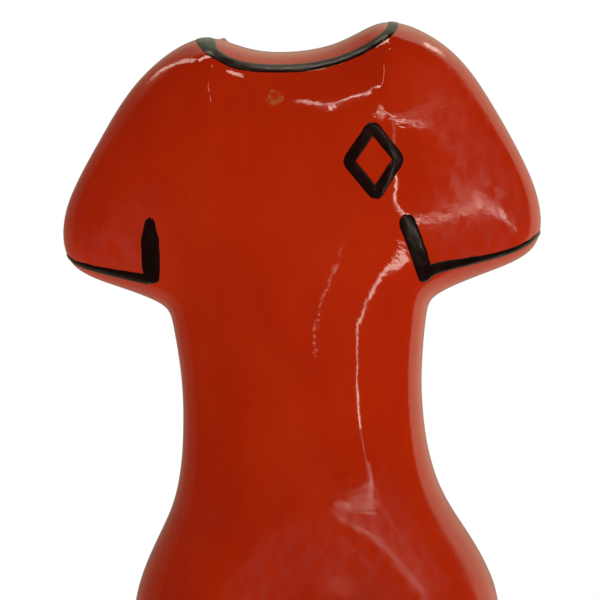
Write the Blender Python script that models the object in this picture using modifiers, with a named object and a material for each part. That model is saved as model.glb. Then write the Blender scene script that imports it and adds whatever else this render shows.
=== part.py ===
"""Headless wooden meeple with a shirt painted on it: a crowned wooden blank, a gloss enamel coat over
it, and black lines painted on the coat.

The figure stands on two flat soles at Z = 0, faces -Y, and is built in metres with its middle at X = 0.
A smooth cage is made for a quarter of the figure and mirrored to the back and to the other side. The
coat, the blank and the skin that the painted lines are cut from are all offsets of that one surface.
"""

import math

import bmesh
import bpy
from mathutils import Vector
from mathutils.geometry import intersect_point_line

MM = 0.001

# --- Layers, in metres ------------------------------------------------------------------------------
COAT_THICKNESS = 0.35 * MM
LINE_THICKNESS = 0.3 * MM
LAYER_GAP = 0.3 * MM            # between the blank and the coat, and between the coat and a line
COAT_HEM_HEIGHT = 0.5 * MM      # the coat stops this far above the soles, which are bare wood
SEAM_DISTANCE = 0.01 * MM       # points closer than this are the same point
FIT_ROUNDS = 8                  # how often the cage is corrected until the surface meets its points

# --- Outline of the +X half, seen from the front: (distance from the middle, height) in millimetres --
NECK_AND_SHOULDER = [(0, 80.25), (4.6, 80.75), (8.3, 82.1), (12.0, 82.85), (16.6, 80.9), (20.8, 77.1)]
SLEEVE_SLOPE = [(24.3, 71.9), (27.6, 65.9), (29.7, 60.3), (28.9, 54.8)]
SLEEVE_UNDERSIDE = [(23.3, 51.75), (17.45, 49.3)]
FLANK = [(15.8, 46.3), (15.05, 39.8), (15.2, 32.2), (16.7, 25.0), (19.7, 19.2), (22.25, 13.4)]
OUTER_LEG = [(22.7, 8.0), (21.3, 2.8), (18.6, -2.4)]
CROTCH = [(0, 8.4), (2.8, 6.6)]
INNER_LEG = [(3.5, 3.6), (3.7, 1.0), (3.7, -2.4)]
ARMPIT_ROW_HEIGHT = 55.0        # height of the armpit's row of points at the middle of the chest
OUTER_EDGE = NECK_AND_SHOULDER + SLEEVE_SLOPE + SLEEVE_UNDERSIDE + FLANK + OUTER_LEG
NOTCH_EDGE = INNER_LEG[::-1] + CROTCH[::-1]
SOLE_GAP = len(OUTER_EDGE) - 1  # the outline is open between this point and the next, under the foot

# --- How thick the figure is, and how far in from its outline the rounding reaches, in millimetres ---
CHEST_HALF_DEPTH, WAIST_HALF_DEPTH, HIP_HALF_DEPTH, SLEEVE_HALF_DEPTH = 9.8, 9.4, 12.0, 5.6
FOOT_TUCK = 2.0                 # how much thinner the figure gets as it rounds in to the soles
TORSO_ROUNDING, SLEEVE_ROUNDING, NOTCH_ROUNDING = 15.0, 8.0, 7.0
EDGE_RINGS = (0.12, 0.42)       # loops of points that follow the outline, as shares of the rounding

# --- Where one measure changes into the next, as spans of X or of height in millimetres --------------
ROUNDING_SPAN, SLEEVE_SPAN = (9, 22), (7, 25)       # X, from the torso out to the sleeve
ARMPIT_SPAN = (46, 54)                              # height, from below the sleeve up into it
HIP_SPAN, CHEST_SPAN, FOOT_SPAN = (10, 38), (40, 62), (5, -3)
HIP_LEAN_SPAN, CHEST_LEAN_SPAN, SHOULDER_SPAN = (8, 36), (48, 56), (57, 80)

# --- The blank was shaped by hand, so it leans a little, in millimetres ------------------------------
CHEST_SHIFT, WAIST_SHIFT, HIP_SHIFT = 0.2, -0.5, 0.35
SHOULDER_SLANT = 0.052          # rise of the shoulder line per millimetre towards +X

# --- Painted lines: centrelines (X, height) with the width at each end and in the middle -------------
COLLAR = [(-11.6, 85.0), (-10.6, 81.6), (-9.1, 79.5), (-7.4, 78.5), (-3.1, 77.8), (0.7, 77.75),
          (4.0, 78.2), (7.4, 79.2), (10.5, 80.8), (12.5, 82.6), (13.8, 86.0)]
COLLAR_WIDTHS = (1.5, 1.5, 1.3)
LEFT_HEM = [(-20.9, 52.7), (-23.4, 53.3), (-26.0, 54.0), (-28.3, 54.8), (-32.0, 56.3)]
RIGHT_HEM = [(18.1, 52.75), (20.6, 53.15), (23.9, 53.75), (26.5, 54.5), (32.0, 57.2)]
HEM_WIDTHS = (1.3, 1.0, 0.8)
LEFT_UNDERARM = [(-18.6, 59.2), (-18.75, 57.0), (-18.75, 54.8), (-18.8, 52.4)]
RIGHT_UNDERARM = [(12.9, 58.4), (13.6, 56.6), (14.4, 54.3), (15.2, 52.0)]
UNDERARM_WIDTHS = (1.5, 2.1, 1.8)
BADGE_CENTRE, BADGE_HALF_WIDTH, BADGE_HALF_HEIGHT, BADGE_LINE = (9.2, 65.8), 3.9, 5.0, 1.5
THROUGH, FRONT, BACK = (-20, 20), (-20, -0.5), (0.5, 20)    # which Y span of the skin a line is cut from

# --- Colours, as linear red, green, blue ------------------------------------------------------------
WOOD_COLOUR = (0.56, 0.36, 0.19)
ENAMEL_COLOUR = (0.46, 0.022, 0.002)
LINE_COLOUR = (0.008, 0.006, 0.006)


def smoothstep(low, high, value):
    """0 at low, 1 at high, a smooth rise between, and level beyond them."""
    share = min(1.0, max(0.0, (value - low) / (high - low)))
    return share * share * (3 - 2 * share)


def mix(first, second, share):
    return first + (second - first) * share


# --- The figure's surface ---------------------------------------------------------------------------
def distance_to_edge(point, edge):
    nearest = math.inf
    for start, end in zip(edge, edge[1:]):
        foot, share = intersect_point_line(point, start, end)
        foot = foot if 0 < share < 1 else (start if share <= 0 else end)
        nearest = min(nearest, (foot - point).length)
    return nearest


def rounding(point, edge_index=0):
    """How far in from the outer edge, or from the notch's edge, the figure's face goes on swelling."""
    if edge_index > SOLE_GAP:
        return NOTCH_ROUNDING
    x, z = point
    return mix(TORSO_ROUNDING, SLEEVE_ROUNDING, smoothstep(*ROUNDING_SPAN, x) * smoothstep(*ARMPIT_SPAN, z))


def full_half_depth(point):
    """Half of the figure's thickness where the face has stopped swelling."""
    x, z = point
    below = mix(HIP_HALF_DEPTH, WAIST_HALF_DEPTH, smoothstep(*HIP_SPAN, z))
    torso = mix(below, CHEST_HALF_DEPTH, smoothstep(*CHEST_SPAN, z))
    foot = torso - FOOT_TUCK * smoothstep(*FOOT_SPAN, z)
    return mix(foot, SLEEVE_HALF_DEPTH, smoothstep(*SLEEVE_SPAN, x) * smoothstep(*ARMPIT_SPAN, z))


def swell(distance, reach):
    """A quarter circle: 0 on the edge, and 1 from reach inwards."""
    return math.sqrt(1 - (1 - min(1.0, distance / reach)) ** 2)


def inward_normals(outline):
    """Unit vectors that point from each outline point into the figure."""
    normals = []
    for index in range(len(outline)):
        before, after = outline[max(index - 1, 0)], outline[min(index + 1, len(outline) - 1)]
        along = (after - before).normalized()
        normals.append(Vector((along.y, -along.x)))
    normals[0], normals[-1] = Vector((0, -1)), Vector((0, 1))
    normals[SOLE_GAP], normals[SOLE_GAP + 1] = Vector((-1, 0)), Vector((1, 0))
    return normals


def between(start, end, cells):
    """Evenly spaced (x, z) points from start to end."""
    return [start.lerp(end, step / cells) for step in range(cells + 1)]


class QuarterCage:
    """Quads for the front of the +X half. Its columns run down the figure and its rows run across."""

    def __init__(self):
        self.outline = [Vector(p) for p in OUTER_EDGE + NOTCH_EDGE]
        self.outer, self.notch = self.outline[: SOLE_GAP + 1], self.outline[SOLE_GAP + 1 :]
        self.normals = inward_normals(self.outline)
        self.mesh = bmesh.new()
        self.inner = self.ring(EDGE_RINGS[1])
        self.middle_ring = self.vertices_on_ring(EDGE_RINGS[0])
        self.inner_ring = self.vertices_on_ring(EDGE_RINGS[1])
        self.edge = [self.mesh.verts.new(Vector((p.x, 0, p.y)) * MM) for p in self.outline]

    def ring(self, share):
        """(x, z) points a share of the rounding in from the outline."""
        edge = zip(self.outline, self.normals)
        return [p + n * share * rounding(p, index) for index, (p, n) in enumerate(edge)]

    def vertices_on_ring(self, share):
        vertices = []
        for index, point in enumerate(self.ring(share)):
            inset = share * rounding(self.outline[index], index)
            own_edge = {"outer": inset} if index <= SOLE_GAP else {"notch": inset}
            vertices.append(self.face_vertex(point, **own_edge))
        return vertices

    def face_vertex(self, point, outer=None, notch=None):
        """A vertex on the front face over an (x, z) point, this far in from the two edges."""
        outer = distance_to_edge(point, self.outer) if outer is None else outer
        notch = distance_to_edge(point, self.notch) if notch is None else notch
        share = swell(outer, rounding(point)) * swell(notch, NOTCH_ROUNDING)
        return self.mesh.verts.new(Vector((point.x, -full_half_depth(point) * share, point.y)) * MM)

    def fill(self, rows):
        for upper, lower in zip(rows, rows[1:]):
            for column in range(len(upper) - 1):
                corners = (upper[column], lower[column], lower[column + 1], upper[column + 1])
                self.mesh.faces.new(corners)

    def row(self, first, last, first_point, last_point, cells):
        """A row of vertices between two that exist already."""
        middle = [self.face_vertex(p) for p in between(first_point, last_point, cells)[1:-1]]
        return [first, *middle, last]

    def chest_and_sleeve(self):
        """The block from the neck and shoulder down to the armpit, as wide as the sleeve."""
        cells = len(NECK_AND_SHOULDER) - 1
        corner, armpit = cells + len(SLEEVE_SLOPE), cells + len(SLEEVE_SLOPE) + len(SLEEVE_UNDERSIDE)
        underside = list(range(corner, armpit + 1))[::-1]
        torso_cells = cells - len(SLEEVE_UNDERSIDE)
        middle = Vector((0, ARMPIT_ROW_HEIGHT))
        low_points = between(middle, self.inner[armpit], torso_cells)[:-1]
        low_points += [self.inner[index] for index in underside]
        low_row = [self.face_vertex(p) for p in low_points[:torso_cells]]
        low_row += [self.inner_ring[index] for index in underside]
        rows = [self.inner_ring[: cells + 1]]
        for step in range(1, len(SLEEVE_SLOPE)):
            share = step / len(SLEEVE_SLOPE)
            points = [high.lerp(low, share) for high, low in zip(self.inner, low_points)]
            rows.append([self.face_vertex(p) for p in points[:-1]] + [self.inner_ring[cells + step]])
        rows.append(low_row)
        self.fill(rows)
        return low_row[: torso_cells + 1], armpit

    def belly_and_leg(self, top_row, armpit):
        """The block from the armpit down to the crotch, and the leg below it."""
        cells = len(top_row) - 1
        hip = armpit + len(FLANK)
        crotch = len(self.outline) - 1
        corner = crotch - 1
        rows = [top_row]
        for index in range(armpit + 1, hip):
            middle = Vector((0, self.outline[index].y))
            first = self.face_vertex(middle)
            rows.append(self.row(first, self.inner_ring[index], middle, self.inner[index], cells))
        ends = (self.inner_ring[corner], self.inner_ring[hip])
        beside = self.row(*ends, self.inner[corner], self.inner[hip], cells - 1)
        rows.append([self.inner_ring[crotch], *beside])
        self.fill(rows)
        leg_rows = [beside]
        for step in range(1, len(OUTER_LEG) + 1):
            inside, outside = corner - step, hip + step
            ends = (self.inner_ring[inside], self.inner_ring[outside])
            leg_rows.append(self.row(*ends, self.inner[inside], self.inner[outside], cells - 1))
        self.fill(leg_rows)

    def edge_strips(self):
        """Two strips of quads that round the face over to the outline."""
        for outer, inner in ((self.edge, self.middle_ring), (self.middle_ring, self.inner_ring)):
            for index in range(len(outer) - 1):
                if index != SOLE_GAP:
                    corners = (outer[index], inner[index], inner[index + 1], outer[index + 1])
                    self.mesh.faces.new(corners)


def lean(point):
    """Moves a point of the even figure to where the hand-shaped one has it."""
    x, z = point.x / MM, point.z / MM
    below = mix(HIP_SHIFT, WAIST_SHIFT, smoothstep(*HIP_LEAN_SPAN, z))
    shift = mix(below, CHEST_SHIFT, smoothstep(*CHEST_LEAN_SPAN, z))
    rise = SHOULDER_SLANT * x * smoothstep(*SHOULDER_SPAN, z)
    return point + Vector((shift, 0, rise)) * MM


def figure_cage():
    """The whole figure's cage, open under the soles, with its points where the surface has to pass."""
    quarter = QuarterCage()
    quarter.belly_and_leg(*quarter.chest_and_sleeve())
    quarter.edge_strips()
    cage = quarter.mesh
    for axis in ("Y", "X"):
        bmesh.ops.mirror(cage, geom=cage.verts[:] + cage.edges[:] + cage.faces[:], axis=axis)
        bmesh.ops.remove_doubles(cage, verts=cage.verts, dist=SEAM_DISTANCE)
    bmesh.ops.recalc_face_normals(cage, faces=cage.faces)
    for vertex in cage.verts:
        vertex.co = lean(vertex.co)
    return cage


def evaluated_mesh(obj):
    """A mesh of the object with its modifiers applied."""
    graph = bpy.context.evaluated_depsgraph_get()
    graph.update()
    return bpy.data.meshes.new_from_object(obj.evaluated_get(graph))


def smooth_figure():
    """The figure's surface: a subdivision surface that passes through the cage's first points."""
    cage = figure_cage()
    mesh = bpy.data.meshes.new("figure_cage")
    cage.to_mesh(mesh)
    cage.free()
    obj = bpy.data.objects.new("figure_cage", mesh)
    bpy.context.scene.collection.objects.link(obj)
    smooth = obj.modifiers.new("smooth", "SUBSURF")
    smooth.levels = smooth.render_levels = 1
    wanted = [vertex.co.copy() for vertex in mesh.vertices]
    for _ in range(FIT_ROUNDS):
        reached = evaluated_mesh(obj)
        for vertex, target in zip(mesh.vertices, wanted):
            vertex.co += target - reached.vertices[vertex.index].co
        bpy.data.meshes.remove(reached)
        mesh.update()
    surface = evaluated_mesh(obj)
    bpy.data.objects.remove(obj)
    return surface


def offset_surface(surface, distance, lowest):
    """The surface moved out by distance along its normals, and cut off level at the lowest height."""
    sheet = bmesh.new()
    sheet.from_mesh(surface)
    sheet.normal_update()
    moved = [vertex.co + vertex.normal * distance for vertex in sheet.verts]
    for vertex, place in zip(sheet.verts, moved):
        vertex.co = place
    everything = sheet.verts[:] + sheet.edges[:] + sheet.faces[:]
    plane = {"plane_co": (0, 0, lowest), "plane_no": (0, 0, 1), "clear_inner": True}
    bmesh.ops.bisect_plane(sheet, geom=everything, dist=SEAM_DISTANCE / 10, **plane)
    return sheet


# --- Objects ----------------------------------------------------------------------------------------
def make_collection(name):
    group = bpy.data.collections.new(name)
    bpy.context.scene.collection.children.link(group)
    return group


def material(name, colour, roughness, coat):
    finish = bpy.data.materials.new(name)
    finish.use_nodes = True
    shader = finish.node_tree.nodes["Principled BSDF"]
    shader.inputs["Base Color"].default_value = (*colour, 1)
    shader.inputs["Roughness"].default_value = roughness
    shader.inputs["Metallic"].default_value = 0
    shader.inputs["Coat Weight"].default_value = coat
    return finish


def add_object(name, mesh_source, finish, group):
    """An object made of a bmesh, which is freed."""
    mesh = bpy.data.meshes.new(name)
    mesh_source.to_mesh(mesh)
    mesh_source.free()
    obj = bpy.data.objects.new(name, mesh)
    group.objects.link(obj)
    if finish:
        mesh.materials.append(finish)
    return obj


def shell(obj, thickness, offset):
    """Gives an open surface its thickness: offset -1 is inwards and 1 is outwards."""
    solid = obj.modifiers.new("thickness", "SOLIDIFY")
    solid.thickness = thickness
    solid.offset = offset


def add_body(surface, finish, group):
    """The wooden blank, with two flat soles."""
    blank = offset_surface(surface, -COAT_THICKNESS - LAYER_GAP, 0.0)
    bmesh.ops.holes_fill(blank, edges=blank.edges, sides=0)
    bmesh.ops.recalc_face_normals(blank, faces=blank.faces)
    return add_object("wooden_body", blank, finish, group)


def add_coat(surface, finish, group):
    """The enamel, a thin shell over the blank that stays open round the soles."""
    coat = add_object("enamel_coat", offset_surface(surface, 0.0, COAT_HEM_HEIGHT), finish, group)
    shell(coat, COAT_THICKNESS, -1)
    return coat


def smooth_path(points, steps=5):
    """A Catmull-Rom curve through the points."""
    points = [Vector(p) for p in points]
    padded = [2 * points[0] - points[1], *points, 2 * points[-1] - points[-2]]
    path = []
    for a, b, c, d in zip(padded, padded[1:], padded[2:], padded[3:]):
        for step in range(steps):
            t = step / steps
            bend = (c - a) * t + (2 * a - 5 * b + 4 * c - d) * t * t + (3 * b - a - 3 * c + d) * t ** 3
            path.append(b + bend / 2)
    return [*path, points[-1]]


def brush_outline(points, widths):
    """The closed outline of a brush stroke with round ends, along a centreline in millimetres."""
    path = smooth_path(points)
    left, right = [], []
    for index, point in enumerate(path):
        share = index / (len(path) - 1)
        first, middle, last = widths
        width = mix(first, middle, share * 2) if share < 0.5 else mix(middle, last, share * 2 - 1)
        before, after = path[max(index - 1, 0)], path[min(index + 1, len(path) - 1)]
        along = (after - before).normalized()
        side = Vector((-along.y, along.x)) * width / 2
        left.append(point + side)
        right.append(point - side)
    return left + round_end(left[-1], right[-1]) + right[::-1] + round_end(right[0], left[0])


def round_end(start, end, steps=6):
    """Points of a half circle from start to end, turning clockwise."""
    centre = (start + end) / 2
    arm = start - centre
    angles = [-math.pi * step / steps for step in range(1, steps)]
    turned = [Vector((arm.x * math.cos(a) - arm.y * math.sin(a), arm.x * math.sin(a) + arm.y * math.cos(a)))
              for a in angles]
    return [centre + point for point in turned]


def diamond(centre, half_width, half_height):
    x, z = centre
    corners = [(x, z + half_height), (x + half_width, z), (x, z - half_height), (x - half_width, z)]
    return [Vector(corner) for corner in corners]


def add_cutter(name, outlines, span, group):
    """A prism along Y over flat (x, z) outlines in millimetres. A second outline is a hole."""
    low, high = span
    flat = bpy.data.curves.new(name, "CURVE")
    flat.dimensions = "2D"
    flat.fill_mode = "BOTH"
    flat.extrude = (high - low) / 2 * MM
    for outline in outlines:
        spline = flat.splines.new("POLY")
        spline.points.add(len(outline) - 1)
        for spot, corner in zip(spline.points, outline):
            spot.co = (corner.x * MM, corner.y * MM, 0, 1)
        spline.use_cyclic_u = True
    drawn = bpy.data.objects.new(name, flat)
    bpy.context.scene.collection.objects.link(drawn)
    prism = bmesh.new()
    prism.from_mesh(evaluated_mesh(drawn))
    bpy.data.objects.remove(drawn)
    bmesh.ops.remove_doubles(prism, verts=prism.verts, dist=SEAM_DISTANCE / 10)
    for vertex in prism.verts:
        vertex.co = Vector((vertex.co.x, (low + high) / 2 * MM - vertex.co.z, vertex.co.y))
    bmesh.ops.recalc_face_normals(prism, faces=prism.faces)
    cutter = add_object(name, prism, None, group)
    cutter.hide_render = True
    cutter.display_type = "WIRE"
    return cutter


def add_line(name, outlines, span, surface, finish, groups):
    """A painted line: the part of a skin over the coat that lies inside the line's prism."""
    parts, cutters = groups
    skin = offset_surface(surface, LAYER_GAP, COAT_HEM_HEIGHT)
    line = add_object(name, skin, finish, parts)
    shell(line, LINE_THICKNESS, 1)
    cut = line.modifiers.new("stroke", "BOOLEAN")
    cut.operation = "INTERSECT"
    cut.solver = "EXACT"
    cut.object = add_cutter(name + "_cutter", outlines, span, cutters)


def add_painted_lines(surface, finish, groups):
    add_line("collar_line", [brush_outline(COLLAR, COLLAR_WIDTHS)], THROUGH, surface, finish, groups)
    sides = (("left", LEFT_HEM, LEFT_UNDERARM), ("right", RIGHT_HEM, RIGHT_UNDERARM))
    for side, hem, underarm in sides:
        hem_outline = brush_outline(hem, HEM_WIDTHS)
        arm_outline = brush_outline(underarm, UNDERARM_WIDTHS)
        add_line(f"{side}_hem_line", [hem_outline], THROUGH, surface, finish, groups)
        add_line(f"front_{side}_underarm_line", [arm_outline], FRONT, surface, finish, groups)
        add_line(f"back_{side}_underarm_line", [arm_outline], BACK, surface, finish, groups)
    side = math.hypot(BADGE_HALF_WIDTH, BADGE_HALF_HEIGHT)
    inner_width = BADGE_HALF_WIDTH - BADGE_LINE * side / BADGE_HALF_HEIGHT
    inner_height = inner_width * BADGE_HALF_HEIGHT / BADGE_HALF_WIDTH
    badge = [diamond(BADGE_CENTRE, BADGE_HALF_WIDTH, BADGE_HALF_HEIGHT),
             diamond(BADGE_CENTRE, inner_width, inner_height)]
    add_line("chest_badge", badge, FRONT, surface, finish, groups)


def main():
    for obj in list(bpy.data.objects):
        bpy.data.objects.remove(obj)
    parts, cutters = make_collection("wooden_meeple"), make_collection("cutters")
    surface = smooth_figure()
    add_body(surface, material("bare_wood", WOOD_COLOUR, 0.6, 0), parts)
    add_coat(surface, material("orange_red_enamel", ENAMEL_COLOUR, 0.25, 1), parts)
    add_painted_lines(surface, material("black_paint", LINE_COLOUR, 0.3, 0.5), (parts, cutters))


main()
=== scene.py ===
import math

import bmesh
import bpy
from mathutils import Matrix, Vector, noise
from mathutils.bvhtree import BVHTree


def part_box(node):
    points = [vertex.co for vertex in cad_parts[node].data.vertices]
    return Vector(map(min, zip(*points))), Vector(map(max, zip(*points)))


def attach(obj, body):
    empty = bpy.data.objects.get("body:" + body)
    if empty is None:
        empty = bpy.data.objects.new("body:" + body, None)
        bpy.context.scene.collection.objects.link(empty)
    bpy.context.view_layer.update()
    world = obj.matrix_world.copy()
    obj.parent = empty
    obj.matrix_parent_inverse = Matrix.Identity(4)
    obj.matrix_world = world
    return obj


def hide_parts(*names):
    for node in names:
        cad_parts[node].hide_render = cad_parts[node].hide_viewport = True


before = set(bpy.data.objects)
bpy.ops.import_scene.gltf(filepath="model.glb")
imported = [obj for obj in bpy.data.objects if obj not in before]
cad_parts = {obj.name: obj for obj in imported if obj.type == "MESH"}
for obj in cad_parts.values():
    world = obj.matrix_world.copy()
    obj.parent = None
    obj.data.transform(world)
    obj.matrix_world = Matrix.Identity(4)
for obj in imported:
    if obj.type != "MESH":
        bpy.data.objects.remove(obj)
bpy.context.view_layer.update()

MM = 0.001

# --- The enamelled figure, in metres ----------------------------------------------------------------
SAME_PLACE = 1e-6               # points closer than this are the same point
COAT_LEVELS, BLANK_LEVELS = 3, 2        # subdivisions of the CAD model's quads
FIT_ROUNDS = 6                  # how often a smooth surface is corrected until it meets the CAD corners
COAT_THICKNESS = 0.5 * MM
WAVE_SIZES = (9.0 * MM, 4.0 * MM, 2.1 * MM)         # the coat's slow swells and its brush ripple
WAVE_HEIGHTS = (0.018 * MM, 0.012 * MM, 0.007 * MM)
BLISTER, BLISTER_RADIUS, BLISTER_HEIGHT = (-2.6, 74.0), 0.95 * MM, 0.05 * MM    # (X, height) in mm
BLISTER_RIM, BLISTER_RIM_WIDTH, BLISTER_REACH = 0.75, 0.3, 2    # its raised rim, in radii
SLEEVE_START = (0.012, 0.021)       # distance from the middle where the sleeves' haze begins and is full
HIPS_END = (0.032, 0.020)           # height below which the hips' haze begins and is full
SPECK, SPECK_RADIUS, SPECK_STRENGTH = (-12.0, 30.5), 0.3 * MM, 0.12            # (X, height) in mm
NIB, NIB_RADIUS, NIB_HEIGHT = Vector((-8.6, -0.8, 82.6)) * MM, 0.4 * MM, 0.35 * MM
RAGGED_HEIGHT = 0.55 * MM       # coat faces lower than this close the CAD coat's hem
RIM_CUT, RIM_HEIGHT = 2.95 * MM, 0.4 * MM       # where the coat is cut level, and down to where it is drawn
RIM_STEPS = 5
RIM_SLIVER = 0.1 * MM           # vertices of the cut closer together than this are merged

# --- Painted lines, drawn on the coat: (X, height) in millimetres, and widths along the line ---------
COLLAR = [(-11.0, 81.9), (-10.3, 80.4), (-9.1, 79.4), (-7.4, 78.5), (-5.4, 78.05), (-3.1, 77.8), (0.7, 77.75),
          (3.8, 78.15), (6.3, 78.8), (8.5, 79.7), (10.5, 80.85), (11.8, 81.9), (12.3, 82.6)]
COLLAR_WIDTHS = (2.5, 1.6, 1.6, 1.55, 1.45, 1.4, 1.3)
LEFT_HEM = [(-18.6, 52.2), (-20.9, 52.7), (-23.4, 53.3), (-25.9, 53.95), (-28.1, 54.7)]
LEFT_HEM_WIDTHS = (1.7, 1.6, 1.35, 1.15, 0.8)
RIGHT_HEM = [(15.1, 51.9), (17.3, 52.6), (20.6, 53.15), (23.9, 53.75), (26.5, 54.5), (28.3, 55.3)]
RIGHT_HEM_WIDTHS = (2.0, 1.5, 1.15, 1.0, 0.75)
LEFT_UNDERARM = [(-18.4, 59.9), (-18.5, 57.9), (-18.55, 55.0), (-18.6, 51.8)]
LEFT_UNDERARM_WIDTHS = (1.1, 2.4, 2.4, 2.0)
RIGHT_UNDERARM = [(12.7, 59.1), (13.6, 56.6), (14.4, 54.3), (15.4, 50.9)]
RIGHT_UNDERARM_WIDTHS = (2.2, 2.2, 2.2, 2.1)
PAINT_HEIGHT = 0.12 * MM
PAINT_STEP = 0.35 * MM
PAINT_EDGE_WOBBLE, WOBBLE_RATE = 0.07 * MM, 0.35
PAINT_UNEVENNESS, PAINT_GRAIN = 0.35, 1.3 * MM      # share of the bead's height, and the size of its ripples
PAINT_SINK, PAINT_ROOT = 0.02 * MM, 0.06 * MM       # how deep its edge and its underside lie in the coat
DOME_POWER = 0.7                # below 1, the bead is fuller than half an ellipse
BLUNTEST_END = 0.02             # keeps the last ring of an open bead from shrinking to a point
BEAD_PROFILE = (-1.0, -0.97, -0.85, -0.6, -0.3, 0.0, 0.3, 0.6, 0.85, 0.97, 1.0)     # across
CURVE_STEPS, EDGE_STEPS = 6, 8  # points for each given point, and over the figure's edge
OUTSIDE = 0.1                   # a distance in front of or behind the figure that is clear of it
COLLAR_LEAN, HEM_RISE = 0.15, 0.35      # which way the lines bulge over the figure's edge
BADGE_LINE_WIDTH = 1.5
BADGE_SKEW = 0.1                # how far two of its corners are off, as drawn by hand
BADGE_SHARES = (0.06, 0.25, 0.5, 0.75, 0.94)        # points along each side, close to its corners
BADGE_STEPS = 4
BADGE_INSET = 0.8               # from the CAD badge's corners in to the middle of its line

# --- Colours as linear red, green, blue, and roughness, each from its lowest to its highest ---------
ENAMEL_COLOURS = ((0.43, 0.0155, 0.001), (0.50, 0.0235, 0.0014))
BURST_COLOURS = ((0.40, 0.035, 0.006), (0.47, 0.115, 0.030))        # from the blister's middle outwards
DIRT_COLOUR = (0.03, 0.004, 0.002, 1)
SMOOTH_ENAMEL, HAZY_ENAMEL = (0.03, 0.08), (0.09, 0.27)
HAZE_RIPPLE = 0.9               # by what share the ripple is stronger on the sleeves
BLACK_COLOURS, BLACK_ROUGHNESS = ((0.006, 0.0012, 0.001), (0.016, 0.003, 0.002)), (0.16, 0.28)
RING_COLOURS = ((0.50, 0.31, 0.16), (0.66, 0.45, 0.26))
PORE_COLOURS = ((0.42, 0.25, 0.12), (0.60, 0.40, 0.22))
WOOD_ROUGHNESS = (0.5, 0.75)
FLOOR_GREYS = (0.86, 0.88)

# --- Camera ----------------------------------------------------------------------------------------
VIEW_CENTRE = Vector((-0.37, 0, 49.15)) * MM
VIEW_WIDTH = 75.0 * MM          # what the frame spans at the figure
VIEW_DISTANCE = 0.36
VIEW_AZIMUTH, VIEW_ELEVATION, VIEW_ROLL = 0.0, 0.0, -2.0
SENSOR_WIDTH = 36.0

# --- Studio ----------------------------------------------------------------------------------------
FAR_WALL = ((0.75, 1.0), (1.0, 0.45))        # how far behind it starts to dim, and to what share
CEILING = ((0.3, 0.8), (0.0, 0.6))          # how far up it starts, and how much it adds
CEILING_START = ((-0.5, 0.0), (0.0, 1.0))   # how far to +X it starts
BEHIND_START = (0.08, 0.16)         # how far behind the figure the bright walls start, as a sine
WALL_LEVELS = (0.12, 1.15)          # the walls' brightness from -X to +X
WALL_COLOUR = (0.96, 1.0, 0.72)     # as the gloss mirrors them
WALL_LIGHT = (0.62, 0.62, 0.62)     # as they light the matt colour
STRIP_COLOUR = (1.0, 0.86, 0.72)
FRONT_LEVEL = 0.03                  # the dark room's brightness, in front of the figure
STRIP_DISTANCE = 0.8
# Narrow lights, placed so that from the front the gloss mirrors them where the photo has its highlights:
# start and end (azimuth, elevation), width in degrees, glow
STRIPS = (
    ("chest_1", (-3, 52), (-8, 44), 0.5, 24),
    ("chest_2", (-8, 43), (-7, 38), 0.5, 24),
    ("chest_3", (6, 25), (12, 22), 0.5, 20),
    ("chest_4", (12, 21), (43, 14), 0.6, 18),
    ("streak_1", (53, -26), (42, -14), 2.2, 9),
    ("streak_2", (41, -13), (31, -4), 1.4, 11),
    ("streak_3", (31, -3), (35, 5), 1.8, 14),
    ("streak_4", (35, 6), (38, 13), 1.5, 2),
    ("streak_5", (39, 14), (54, 26), 1.5, 1),
    ("middle", (7.5, -5), (8.5, -6), 1.5, 4),
    ("low", (-14, -29), (-4, -29), 8.0, 0.8),
    ("left_shoulder_1", (-118, 44), (-87, 65), 6.0, 5),
    ("left_shoulder_2", (-80, 69), (100, 82), 6.0, 8),
    ("left_shoulder_3", (29, 70), (37, 70), 4.0, 8),
    ("right_shoulder", (122, 50), (108, 49), 7.0, 7),
)
# Lights that the gloss does not mirror: size, glow, azimuth, elevation, distance
SOFT_LIGHTS = (
    ("soft_key", (0.6, 0.6), 2.6, 50, 30, 1.0),
    ("front_fill", (0.5, 0.3), 1.3, -5, 5, 0.8),
    ("left_fill", (0.4, 0.4), 0.9, -80, 10, 0.8),
)
FLOOR_RADIUS = 6.0
FLOOR_FADE = (0.015, 0.065)         # distance from the middle where the floor turns from matt to white light


# --- Meshes from the CAD model ----------------------------------------------------------------------
def cad_bmesh(node):
    """A CAD node's mesh with its facets' corners joined again."""
    mesh = bmesh.new()
    mesh.from_mesh(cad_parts[node].data)
    bmesh.ops.remove_doubles(mesh, verts=mesh.verts, dist=SAME_PLACE)
    return mesh


def add_object(name, mesh_source):
    mesh = bpy.data.meshes.new(name)
    mesh_source.to_mesh(mesh)
    mesh_source.free()
    mesh.shade_smooth()
    obj = bpy.data.objects.new(name, mesh)
    bpy.context.scene.collection.objects.link(obj)
    return obj


def outer_sheet_of_coat():
    """The outside of the CAD coat, which is open at the soles, without its inside and its hem."""
    body = cad_bmesh("wooden_body")
    tree = BVHTree.FromBMesh(body)
    coat = cad_bmesh("enamel_coat")
    away = {vertex: tree.find_nearest(vertex.co)[3] for vertex in coat.verts}
    halfway = (min(away.values()) + max(away.values())) / 2
    inside = [face for face in coat.faces if min(away[v] for v in face.verts) < halfway
              or max(v.co.z for v in face.verts) < RAGGED_HEIGHT]
    bmesh.ops.delete(coat, geom=inside, context="FACES")
    body.free()
    return coat


def blank_without_soles():
    """The CAD blank's side, open at the soles."""
    blank = cad_bmesh("wooden_body")
    soles = [face for face in blank.faces if max(v.co.z for v in face.verts) < SAME_PLACE]
    bmesh.ops.delete(blank, geom=soles, context="FACES")
    return blank


def evaluated(obj):
    graph = bpy.context.evaluated_depsgraph_get()
    graph.update()
    return bpy.data.meshes.new_from_object(obj.evaluated_get(graph))


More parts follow.
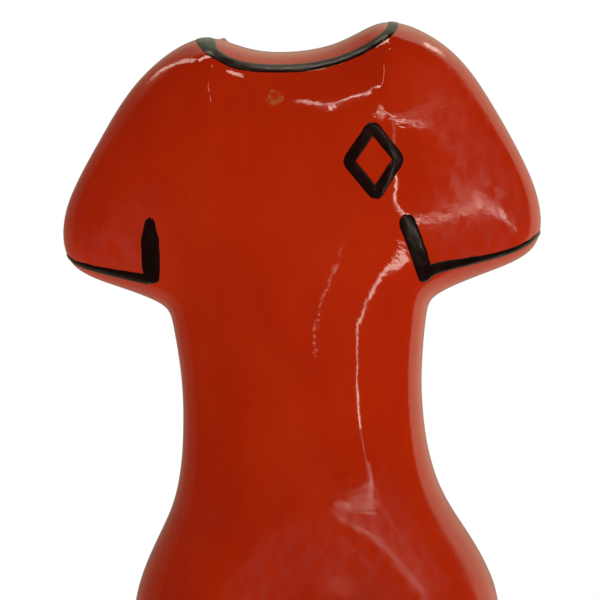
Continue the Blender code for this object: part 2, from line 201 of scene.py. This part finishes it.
def smoothed(mesh_source, name, levels):
    """A fine smooth surface through the corners of a faceted one, whose triangles are paired first."""
    bmesh.ops.join_triangles(mesh_source, faces=mesh_source.faces, angle_face_threshold=math.pi,
                             angle_shape_threshold=math.pi)
    obj = add_object(name, mesh_source)
    wanted = [vertex.co.copy() for vertex in obj.data.vertices]
    smooth = obj.modifiers.new("smooth", "SUBSURF")
    smooth.levels = smooth.render_levels = 1
    for _ in range(FIT_ROUNDS):
        reached = evaluated(obj)
        for vertex, target in zip(obj.data.vertices, wanted):
            vertex.co += target - reached.vertices[vertex.index].co
        bpy.data.meshes.remove(reached)
        obj.data.update()
    smooth.levels = smooth.render_levels = levels
    fine = evaluated(obj)
    obj.modifiers.clear()
    obj.data = fine
    fine.shade_smooth()
    return obj


def wave(mesh):
    """Moves a surface in and out along its normals by the unevenness of thick brushed enamel, with the rim of
    the blister and with the nib, which stands on the point of the surface that is nearest to NIB."""
    moved = []
    nib = min((vertex.co for vertex in mesh.vertices), key=lambda place: (place - NIB).length).copy()
    for vertex in mesh.vertices:
        place = vertex.co
        height = sum(tall * noise.noise(place / size) for size, tall in zip(WAVE_SIZES, WAVE_HEIGHTS))
        off_blister = math.hypot(place.x - BLISTER[0] * MM, place.z - BLISTER[1] * MM) / BLISTER_RADIUS
        if place.y < 0 and off_blister < BLISTER_REACH:
            height += BLISTER_HEIGHT * math.exp(-((off_blister - BLISTER_RIM) / BLISTER_RIM_WIDTH) ** 2)
        height += NIB_HEIGHT * math.exp(-((place - nib).length / NIB_RADIUS) ** 2)
        moved.extend(place + vertex.normal * (height - sum(WAVE_HEIGHTS)))
    mesh.vertices.foreach_set("co", moved)
    mesh.update()


def even_rim(mesh):
    """Cuts the open foot of a surface level, merges the slivers of the cut, which would skew the normals, and
    draws the foot down again along its own slope."""
    foot = bmesh.new()
    foot.from_mesh(mesh)
    bmesh.ops.bisect_plane(foot, geom=foot.verts[:] + foot.edges[:] + foot.faces[:], dist=SAME_PLACE,
                           plane_co=(0, 0, RIM_CUT), plane_no=(0, 0, 1), clear_inner=True)
    near_cut = [vertex for vertex in foot.verts if vertex.co.z < RIM_CUT + RIM_SLIVER]
    bmesh.ops.remove_doubles(foot, verts=near_cut, dist=RIM_SLIVER)
    for vertex in {vertex for edge in foot.edges if edge.is_boundary for vertex in edge.verts}:
        vertex.co.z = RIM_CUT
    for _ in range(RIM_STEPS):
        foot.normal_update()
        rim = [edge for edge in foot.edges if edge.is_boundary]
        normals = {tuple(v.co): v.normal.copy() for edge in rim for v in edge.verts}
        drawn = bmesh.ops.extrude_edge_only(foot, edges=rim)["geom"]
        for vertex in (item for item in drawn if isinstance(item, bmesh.types.BMVert)):
            normal = normals[tuple(vertex.co)]
            slope = Vector((0, 0, -1)) + normal * normal.z
            vertex.co += slope / -slope.z * (RIM_CUT - RIM_HEIGHT) / RIM_STEPS
    bmesh.ops.recalc_face_normals(foot, faces=foot.faces)
    foot.to_mesh(mesh)
    foot.free()
    mesh.shade_smooth()


def make_coat():
    coat = smoothed(outer_sheet_of_coat(), "gloss_enamel", COAT_LEVELS)
    even_rim(coat.data)
    wave(coat.data)
    surface = BVHTree.FromObject(coat, bpy.context.evaluated_depsgraph_get())
    shell = coat.modifiers.new("thickness", "SOLIDIFY")
    shell.thickness = COAT_THICKNESS
    shell.offset = -1
    return coat, surface


def make_blank():
    blank = smoothed(blank_without_soles(), "wood_blank", BLANK_LEVELS)
    closing = bmesh.new()
    closing.from_mesh(blank.data)
    rim = [edge for edge in closing.edges if edge.is_boundary]
    for edge in rim:
        for vertex in edge.verts:
            vertex.co.z = 0.0
    for vertex in closing.verts:
        vertex.co.z = max(vertex.co.z, 0.0)
    bmesh.ops.holes_fill(closing, edges=rim, sides=0)
    closing.to_mesh(blank.data)
    closing.free()
    return blank


# --- Painted lines ----------------------------------------------------------------------------------
def smooth_path(points, steps, closed=False):
    """A Catmull-Rom curve through the points."""
    if closed:
        padded = [points[-1], *points, points[0], points[1]]
    else:
        padded = [2 * points[0] - points[1], *points, 2 * points[-1] - points[-2]]
    path = []
    for a, b, c, d in zip(padded, padded[1:], padded[2:], padded[3:]):
        for step in range(steps):
            t = step / steps
            bend = (c - a) * t + (2 * a - 5 * b + 4 * c - d) * t * t + (3 * b - a - 3 * c + d) * t ** 3
            path.append(b + bend / 2)
    return path if closed else [*path, points[-1]]


def even_steps(path, step, closed=False):
    """The same line as points that lie evenly along it."""
    points = [*path, path[0]] if closed else path
    lengths = [0.0]
    for a, b in zip(points, points[1:]):
        lengths.append(lengths[-1] + (b - a).length)
    count = max(4, round(lengths[-1] / step))
    even, at = [], 0
    for index in range(count if closed else count + 1):
        wanted = lengths[-1] * index / count
        while at < len(points) - 2 and lengths[at + 1] < wanted:
            at += 1
        share = (wanted - lengths[at]) / max(lengths[at + 1] - lengths[at], 1e-12)
        even.append(points[at].lerp(points[at + 1], share))
    return even


def onto_face(surface, points, facing):
    """(x, height) points in millimetres, dropped onto the front (-1) or the back (1) of the coat."""
    found = []
    for x, z in points:
        start = Vector((x * MM, facing * OUTSIDE, z * MM))
        hit = surface.ray_cast(start, Vector((0, -facing, 0)))[0]
        if hit is None:
            start.y = 0
            hit = surface.find_nearest(start)[0]
        found.append(hit)
    return found


def round_edge(surface, start, end, bulge):
    """Points over the figure's edge from start to end, which are on its two faces."""
    middle, arm = (start + end) / 2, (start - end) / 2
    over = []
    for step in range(1, EDGE_STEPS):
        angle = math.pi * step / EDGE_STEPS
        guess = middle + arm * math.cos(angle) + bulge * arm.length * math.sin(angle)
        over.append(surface.find_nearest(guess)[0])
    return over


def width_along(widths, share):
    place = share * (len(widths) - 1)
    low = min(int(place), len(widths) - 2)
    return (widths[low] + (widths[low + 1] - widths[low]) * (place - low)) * MM


def paint_bead(name, surface, path, widths, closed=False):
    """A raised bead of paint along a path on the coat, with a domed top and, if open, round ends."""
    path = even_steps(path, PAINT_STEP, closed)
    count = len(path)
    rings = []
    bead = bmesh.new()
    for index, point in enumerate(path):
        after = path[(index + 1) % count] if closed or index < count - 1 else point
        before = path[index - 1] if closed or index else point
        centre, normal = surface.find_nearest(point)[:2]
        side = normal.cross(after - before).normalized()
        share = index / count if closed else index / (count - 1)
        half = width_along(widths, share) / 2
        along = PAINT_STEP * min(index, count - 1 - index)
        if not closed and along < half:
            half *= math.sqrt(max(BLUNTEST_END, 1 - (1 - along / half) ** 2))
        ring = []
        for place in BEAD_PROFILE:
            drift = noise.noise(Vector((index * WOBBLE_RATE, place, len(name)))) * PAINT_EDGE_WOBBLE
            spot, up = surface.find_nearest(centre + side * (half * place + drift))[:2]
            dome = math.sqrt(1 - place * place) ** DOME_POWER
            texture = 1 + PAINT_UNEVENNESS * noise.noise(spot / PAINT_GRAIN)
            ring.append(bead.verts.new(spot + up * (PAINT_HEIGHT * dome * texture - PAINT_SINK)))
        for place in reversed(BEAD_PROFILE[1:-1]):
            spot, up = surface.find_nearest(centre + side * half * place)[:2]
            ring.append(bead.verts.new(spot - up * PAINT_ROOT))
        rings.append(ring)
    pairs = list(zip(rings, rings[1:]))
    if closed:
        pairs.append((rings[-1], rings[0]))
    for first, second in pairs:
        for index in range(len(first)):
            following = (index + 1) % len(first)
            bead.faces.new((first[index], first[following], second[following], second[index]))
    if not closed:
        bead.faces.new(rings[0][::-1])
        bead.faces.new(rings[-1])
    bmesh.ops.recalc_face_normals(bead, faces=bead.faces)
    return add_object(name, bead)


def make_collar(surface):
    points = smooth_path([Vector(p) for p in COLLAR], CURVE_STEPS)
    front, back = onto_face(surface, points, -1), onto_face(surface, points[::-1], 1)
    right = round_edge(surface, front[-1], back[0], Vector((COLLAR_LEAN, 0, 1)))
    left = round_edge(surface, back[-1], front[0], Vector((-COLLAR_LEAN, 0, 1)))
    widths = (*COLLAR_WIDTHS, *COLLAR_WIDTHS[::-1])
    return paint_bead("painted_collar", surface, [*front, *right, *back, *left], widths, closed=True)


def make_hem(surface, side, points, widths):
    points = smooth_path([Vector(p) for p in points], CURVE_STEPS)
    front, back = onto_face(surface, points, -1), onto_face(surface, points[::-1], 1)
    outwards = Vector((1 if side == "right" else -1, 0, HEM_RISE))
    path = [*front, *round_edge(surface, front[-1], back[0], outwards), *back]
    return paint_bead(f"painted_{side}_hem", surface, path, (*widths, *widths[::-1]))


def make_underarm(surface, face, side, points, widths):
    points = smooth_path([Vector(p) for p in points], CURVE_STEPS)
    path = onto_face(surface, points, -1 if face == "front" else 1)
    return paint_bead(f"painted_{face}_{side}_underarm", surface, path, widths)


def make_badge(surface):
    low, high = (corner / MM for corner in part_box("chest_badge"))
    middle = (low + high) / 2
    wide, tall = (high.x - low.x) / 2 - BADGE_INSET, (high.z - low.z) / 2 - BADGE_INSET
    corners = [(0, tall), (wide, BADGE_SKEW), (BADGE_SKEW, -tall), (-wide, 0)]
    corners = [Vector((middle.x + x, middle.z + z)) for x, z in corners]
    outline = []
    for here, after in zip(corners, corners[1:] + corners[:1]):
        outline += [here.lerp(after, share) for share in BADGE_SHARES]
    path = onto_face(surface, smooth_path(outline, BADGE_STEPS, closed=True), -1)
    return paint_bead("painted_badge", surface, path, (BADGE_LINE_WIDTH,) * 2, closed=True)


# --- Materials --------------------------------------------------------------------------------------
class Nodes:
    """A material and short ways to add nodes to it."""

    def __init__(self, name):
        self.material = bpy.data.materials.new(name)
        self.material.use_nodes = True
        self.tree = self.material.node_tree
        self.shader = self.tree.nodes["Principled BSDF"]
        self.place = self.add("ShaderNodeTexCoord").outputs["Object"]

    def add(self, kind, **settings):
        node = self.tree.nodes.new(kind)
        for name, value in settings.items():
            if name in node.inputs:
                node.inputs[name].default_value = value
            else:
                setattr(node, name, value)
        return node

    def link(self, output, socket):
        self.tree.links.new(output, socket)

    def scaled(self, scale):
        """Object coordinates times a scale for each axis, in repeats per metre."""
        mapping = self.add("ShaderNodeMapping", Scale=scale)
        self.link(self.place, mapping.inputs["Vector"])
        return mapping.outputs["Vector"]

    def noise(self, scale, detail=3.0, roughness=0.5, stretch=(1, 1, 1)):
        """Noise with a given number of repeats per metre along each axis."""
        texture = self.add("ShaderNodeTexNoise", Scale=1.0, Detail=detail, Roughness=roughness)
        self.link(self.scaled([scale * s for s in stretch]), texture.inputs["Vector"])
        return texture.outputs["Fac"]

    def ramp(self, value, low, high, start, end):
        """A colour that goes from start to end as value goes from low to high."""
        ramp = self.add("ShaderNodeValToRGB")
        first, last = ramp.color_ramp.elements
        first.position, last.position = low, high
        first.color, last.color = (*start, 1), (*end, 1)
        self.link(value, ramp.inputs["Fac"])
        return ramp.outputs["Color"]

    def grey_ramp(self, value, low, high, start, end):
        return self.ramp(value, low, high, (start,) * 3, (end,) * 3)

    def mixed(self, factor, first, second):
        mix = self.add("ShaderNodeMix", data_type="RGBA")
        self.link(factor, mix.inputs["Factor"])
        self.link(first, mix.inputs[6])
        self.link(second, mix.inputs[7])
        return mix.outputs[2]

    def bump(self, height, distance, strength=1.0, below=None):
        bump = self.add("ShaderNodeBump", Distance=distance, Strength=strength)
        self.link(height, bump.inputs["Height"])
        if below:
            self.link(below, bump.inputs["Normal"])
        return bump.outputs["Normal"]

    def distance(self, centre, unit):
        """How far the surface is from a point, in units."""
        node = self.add("ShaderNodeVectorMath", operation="DISTANCE")
        self.link(self.place, node.inputs[0])
        node.inputs[1].default_value = centre
        return self.math("DIVIDE", node.outputs["Value"], unit)

    def step(self, value, low, high):
        """0 to 1 as value goes from low to high."""
        node = self.add("ShaderNodeMapRange", interpolation_type="SMOOTHSTEP")
        node.inputs["From Min"].default_value, node.inputs["From Max"].default_value = low, high
        self.link(value, node.inputs["Value"])
        return node.outputs["Result"]

    def math(self, operation, first, second):
        node = self.add("ShaderNodeMath", operation=operation)
        for socket, value in zip(node.inputs, (first, second)):
            if isinstance(value, (int, float)):
                socket.default_value = value
            else:
                self.link(value, socket)
        return node.outputs[0]


def enamel_material(blister, speck, nib):
    """Thick glossy orange-red enamel, brushed on: ripples and slight colour changes, hazier sleeves and hips,
    a burst blister, a speck and a nib."""
    nodes = Nodes("brushed_orange_red_enamel")
    cloudy = nodes.noise(120, 4, 0.6, (1, 1, 0.5))
    colour = nodes.ramp(cloudy, 0.3, 0.72, *ENAMEL_COLOURS)
    ragged = nodes.math("MULTIPLY", nodes.math("SUBTRACT", nodes.noise(1300, 2), 0.5), 1.5)
    off_blister = nodes.math("ADD", nodes.distance(blister, BLISTER_RADIUS), ragged)
    burst = nodes.ramp(off_blister, 0.2, 0.9, *BURST_COLOURS)
    patches = nodes.step(nodes.noise(1500, 2), 0.3, 0.6)
    patchy = nodes.math("MULTIPLY", patches, nodes.step(off_blister, 1.3, 0.7))
    colour = nodes.mixed(patchy, colour, burst)
    dirt = nodes.add("ShaderNodeRGB")
    dirt.outputs[0].default_value = DIRT_COLOUR
    for spot, radius, strength in ((speck, SPECK_RADIUS, SPECK_STRENGTH), (nib, NIB_RADIUS, 1.0)):
        amount = nodes.math("MULTIPLY", nodes.step(nodes.distance(spot, radius), 1.3, 0.4), strength)
        colour = nodes.mixed(amount, colour, dirt.outputs[0])
    nodes.link(colour, nodes.shader.inputs["Base Color"])
    smears = nodes.noise(900, 3, 0.6, (1, 1, 0.5))
    split = nodes.add("ShaderNodeSeparateXYZ")
    nodes.link(nodes.place, split.inputs[0])
    on_sleeve = nodes.step(nodes.math("ABSOLUTE", split.outputs["X"], 0), *SLEEVE_START)
    uneven = nodes.math("ADD", nodes.math("MULTIPLY", on_sleeve, HAZE_RIPPLE), 1.0)
    brushed = nodes.noise(700, 3, 0.55, (0.7, 0.7, 1.5))
    ripple = nodes.bump(nodes.math("MULTIPLY", brushed, uneven), 0.02 * MM)
    grain = nodes.bump(nodes.noise(2000, 2, 0.5), 0.003 * MM, 1.0, ripple)
    smooth = nodes.grey_ramp(smears, 0.35, 0.75, *SMOOTH_ENAMEL)
    hazy = nodes.grey_ramp(smears, 0.35, 0.7, *HAZY_ENAMEL)
    on_hips = nodes.step(split.outputs["Z"], *HIPS_END)
    nodes.link(nodes.mixed(nodes.math("MAXIMUM", on_sleeve, on_hips), smooth, hazy),
               nodes.shader.inputs["Roughness"])
    nodes.link(grain, nodes.shader.inputs["Normal"])
    nodes.shader.inputs["IOR"].default_value = 1.5
    return nodes.material


def black_paint_material():
    """Black paint laid on by hand over the enamel: glossy, a little uneven in colour, with faint ridges."""
    nodes = Nodes("hand_laid_black_paint")
    patchy = nodes.noise(800, 3, 0.6)
    colour = nodes.ramp(patchy, 0.3, 0.8, *BLACK_COLOURS)
    nodes.link(colour, nodes.shader.inputs["Base Color"])
    nodes.link(nodes.grey_ramp(patchy, 0.3, 0.7, *BLACK_ROUGHNESS), nodes.shader.inputs["Roughness"])
    nodes.link(nodes.bump(nodes.noise(1500, 3, 0.5), 0.02 * MM, 0.6), nodes.shader.inputs["Normal"])
    nodes.shader.inputs["Specular IOR Level"].default_value = 0.3
    return nodes.material


def wood_material():
    """Pale bare wood with growth rings that run up the blank, and end grain on the soles."""
    nodes = Nodes("bare_pale_wood")
    bend = nodes.noise(60, 3, 0.5, (1, 1, 0.1))
    rings = nodes.add("ShaderNodeTexWave", wave_type="RINGS", rings_direction="Z", Scale=1.0,
                      Distortion=4.0, Detail=2.0)
    nodes.link(nodes.scaled((190, 190, 8)), rings.inputs["Vector"])
    ringed = nodes.ramp(rings.outputs["Fac"], 0.1, 0.9, *RING_COLOURS)
    pores = nodes.noise(3000, 2, 0.6, (1, 1, 0.05))
    dark = nodes.ramp(bend, 0.3, 0.7, *PORE_COLOURS)
    colour = nodes.mixed(nodes.math("MULTIPLY", pores, 0.7), ringed, dark)
    nodes.link(colour, nodes.shader.inputs["Base Color"])
    nodes.link(nodes.grey_ramp(pores, 0.3, 0.7, *WOOD_ROUGHNESS), nodes.shader.inputs["Roughness"])
    nodes.link(nodes.bump(pores, 0.03 * MM, 0.8), nodes.shader.inputs["Normal"])
    return nodes.material


def finish_piece(piece, material, slot, *cad_nodes):
    """Gives a piece its material and ties it to the CAD nodes it stands for."""
    piece.data.materials.clear()
    piece.data.materials.append(material)
    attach(piece, "root")
    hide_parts(*cad_nodes)


# --- Studio -----------------------------------------------------------------------------------------
def direction(azimuth, elevation):
    turn, rise = math.radians(azimuth), math.radians(elevation)
    return Vector((math.sin(turn) * math.cos(rise), -math.cos(turn) * math.cos(rise), math.sin(rise)))


def add_light(name, size, glow, azimuth, elevation, distance, mirrored=True, colour=(1, 1, 1)):
    """A rectangular light that faces the figure. Azimuth 0 is the camera's side and 90 is +X."""
    data = bpy.data.lights.new(name, "AREA")
    data.shape = "RECTANGLE"
    data.size, data.size_y = size
    data.energy = glow * math.pi * size[0] * size[1]
    data.color = colour
    light = bpy.data.objects.new(name, data)
    away = direction(azimuth, elevation)
    light.location = VIEW_CENTRE + away * distance
    light.rotation_mode = "QUATERNION"
    light.rotation_quaternion = away.to_track_quat("Z", "Y")
    light.visible_camera = False
    light.visible_glossy = mirrored
    bpy.context.scene.collection.objects.link(light)
    return light


def add_strip(name, start, end, width, glow):
    """A long narrow light from one (azimuth, elevation) to another, as wide as an angle in degrees."""
    start, end = direction(*start), direction(*end)
    away = (start + end).normalized()
    length = (end - start).length * STRIP_DISTANCE / (start + end).length * 2
    size = (length, math.radians(width) * STRIP_DISTANCE)
    light = add_light(name, size, glow, 0, 0, STRIP_DISTANCE, colour=STRIP_COLOUR)
    across = away.cross(end - start).normalized()
    along = across.cross(away).normalized()
    light.location = VIEW_CENTRE + away * STRIP_DISTANCE
    light.rotation_quaternion = Matrix((along, across, away)).transposed().to_quaternion()


def map_range(tree, value, old, new):
    node = tree.nodes.new("ShaderNodeMapRange")
    for name, number in zip(("From Min", "From Max", "To Min", "To Max"), (*old, *new)):
        node.inputs[name].default_value = number
    tree.links.new(value, node.inputs["Value"])
    return node.outputs["Result"]


def make_world():
    """White where the camera sees it. For all other rays it is bright walls behind the figure and a dark room
    in front, so the gloss is deep on its face and pale along its edges."""
    world = bpy.data.worlds.new("studio")
    world.use_nodes = True
    tree = world.node_tree
    tree.nodes.clear()
    output = tree.nodes.new("ShaderNodeOutputWorld")
    rays = tree.nodes.new("ShaderNodeLightPath")
    ray = tree.nodes.new("ShaderNodeTexCoord").outputs["Generated"]
    split = tree.nodes.new("ShaderNodeSeparateXYZ")
    tree.links.new(ray, split.inputs[0])
    walls = map_range(tree, split.outputs["X"], (-1, 1), WALL_LEVELS)
    far = map_range(tree, split.outputs["Y"], *FAR_WALL)
    dimmed = tree.nodes.new("ShaderNodeMath")
    dimmed.operation = "MULTIPLY"
    tree.links.new(walls, dimmed.inputs[0])
    tree.links.new(far, dimmed.inputs[1])
    overhead = map_range(tree, split.outputs["Z"], *CEILING)
    right = map_range(tree, split.outputs["X"], *CEILING_START)
    ceiling = tree.nodes.new("ShaderNodeMath")
    ceiling.operation = "MULTIPLY_ADD"
    tree.links.new(overhead, ceiling.inputs[0])
    tree.links.new(right, ceiling.inputs[1])
    tree.links.new(dimmed.outputs[0], ceiling.inputs[2])
    behind = map_range(tree, split.outputs["Y"], BEHIND_START, (0, 1))
    level = tree.nodes.new("ShaderNodeMix")
    level.inputs["A"].default_value = FRONT_LEVEL
    tree.links.new(behind, level.inputs["Factor"])
    tree.links.new(ceiling.outputs[0], level.inputs["B"])
    tint = tree.nodes.new("ShaderNodeMix")
    tint.data_type = "RGBA"
    tint.inputs[6].default_value, tint.inputs[7].default_value = (*WALL_LIGHT, 1), (*WALL_COLOUR, 1)
    tree.links.new(rays.outputs["Is Glossy Ray"], tint.inputs["Factor"])
    around, white = tree.nodes.new("ShaderNodeBackground"), tree.nodes.new("ShaderNodeBackground")
    white.inputs["Color"].default_value = (1, 1, 1, 1)
    choose = tree.nodes.new("ShaderNodeMixShader")
    tree.links.new(tint.outputs[2], around.inputs["Color"])
    tree.links.new(level.outputs["Result"], around.inputs["Strength"])
    tree.links.new(rays.outputs["Is Camera Ray"], choose.inputs["Fac"])
    tree.links.new(around.outputs[0], choose.inputs[1])
    tree.links.new(white.outputs[0], choose.inputs[2])
    tree.links.new(choose.outputs[0], output.inputs["Surface"])
    bpy.context.scene.world = world


def make_floor():
    """A pale matt floor that turns into white light away from the figure, so it has no horizon. It is not
    mirrored in the gloss and casts no shadow."""
    floor_mesh = bmesh.new()
    bmesh.ops.create_circle(floor_mesh, cap_ends=True, segments=96, radius=FLOOR_RADIUS)
    floor = add_object("studio_floor", floor_mesh)
    nodes = Nodes("matt_white_floor")
    faint = nodes.grey_ramp(nodes.noise(30, 2), 0.3, 0.7, *FLOOR_GREYS)
    nodes.link(faint, nodes.shader.inputs["Base Color"])
    nodes.shader.inputs["Roughness"].default_value = 0.9
    nodes.shader.inputs["Specular IOR Level"].default_value = 0.0
    glow = nodes.add("ShaderNodeEmission")
    glow.inputs["Color"].default_value = (1, 1, 1, 1)
    distance = nodes.add("ShaderNodeVectorMath", operation="LENGTH")
    nodes.link(nodes.place, distance.inputs[0])
    fade = nodes.add("ShaderNodeMapRange", interpolation_type="SMOOTHSTEP")
    fade.inputs["From Min"].default_value, fade.inputs["From Max"].default_value = FLOOR_FADE
    nodes.link(distance.outputs["Value"], fade.inputs["Value"])
    mix = nodes.add("ShaderNodeMixShader")
    nodes.link(fade.outputs["Result"], mix.inputs["Fac"])
    nodes.link(nodes.shader.outputs[0], mix.inputs[1])
    nodes.link(glow.outputs[0], mix.inputs[2])
    nodes.link(mix.outputs[0], nodes.tree.nodes["Material Output"].inputs["Surface"])
    floor.data.materials.append(nodes.material)
    floor.visible_glossy = floor.visible_shadow = False


def make_camera():
    data = bpy.data.cameras.new("camera")
    data.sensor_width = SENSOR_WIDTH
    data.lens = SENSOR_WIDTH * VIEW_DISTANCE / VIEW_WIDTH
    data.clip_start = 0.01
    camera = bpy.data.objects.new("camera", data)
    away = direction(VIEW_AZIMUTH, VIEW_ELEVATION)
    camera.location = VIEW_CENTRE + away * VIEW_DISTANCE
    look = away.to_track_quat("Z", "Y").to_matrix().to_4x4()
    camera.rotation_mode = "QUATERNION"
    roll = look.Rotation(math.radians(VIEW_ROLL), 4, "Z")
    camera.rotation_quaternion = (look @ roll).to_quaternion()
    bpy.context.scene.collection.objects.link(camera)
    bpy.context.scene.camera = camera


def make_figure():
    coat, surface = make_coat()
    blister, speck = onto_face(surface, (BLISTER, SPECK), -1)
    nib = surface.find_nearest(NIB)[0]
    finish_piece(coat, enamel_material(blister, speck, nib), "orange_red_enamel", "enamel_coat")
    finish_piece(make_blank(), wood_material(), "bare_wood", "wooden_body")
    paint = black_paint_material()
    finish_piece(make_collar(surface), paint, "black_paint", "collar_line")
    finish_piece(make_badge(surface), paint, "black_paint", "chest_badge")
    sides = (("left", LEFT_HEM, LEFT_HEM_WIDTHS, LEFT_UNDERARM, LEFT_UNDERARM_WIDTHS),
             ("right", RIGHT_HEM, RIGHT_HEM_WIDTHS, RIGHT_UNDERARM, RIGHT_UNDERARM_WIDTHS))
    for side, hem, hem_widths, underarm, underarm_widths in sides:
        painted = make_hem(surface, side, hem, hem_widths)
        finish_piece(painted, paint, "black_paint", f"{side}_hem_line")
        for face in ("front", "back"):
            painted = make_underarm(surface, face, side, underarm, underarm_widths)
            finish_piece(painted, paint, "black_paint", f"{face}_{side}_underarm_line")


make_figure()
make_floor()
make_world()
make_camera()
for strip in STRIPS:
    add_strip(*strip)
for soft_light in SOFT_LIGHTS:
    add_light(*soft_light, mirrored=False)
bpy.context.scene.view_settings.view_transform = "Standard"
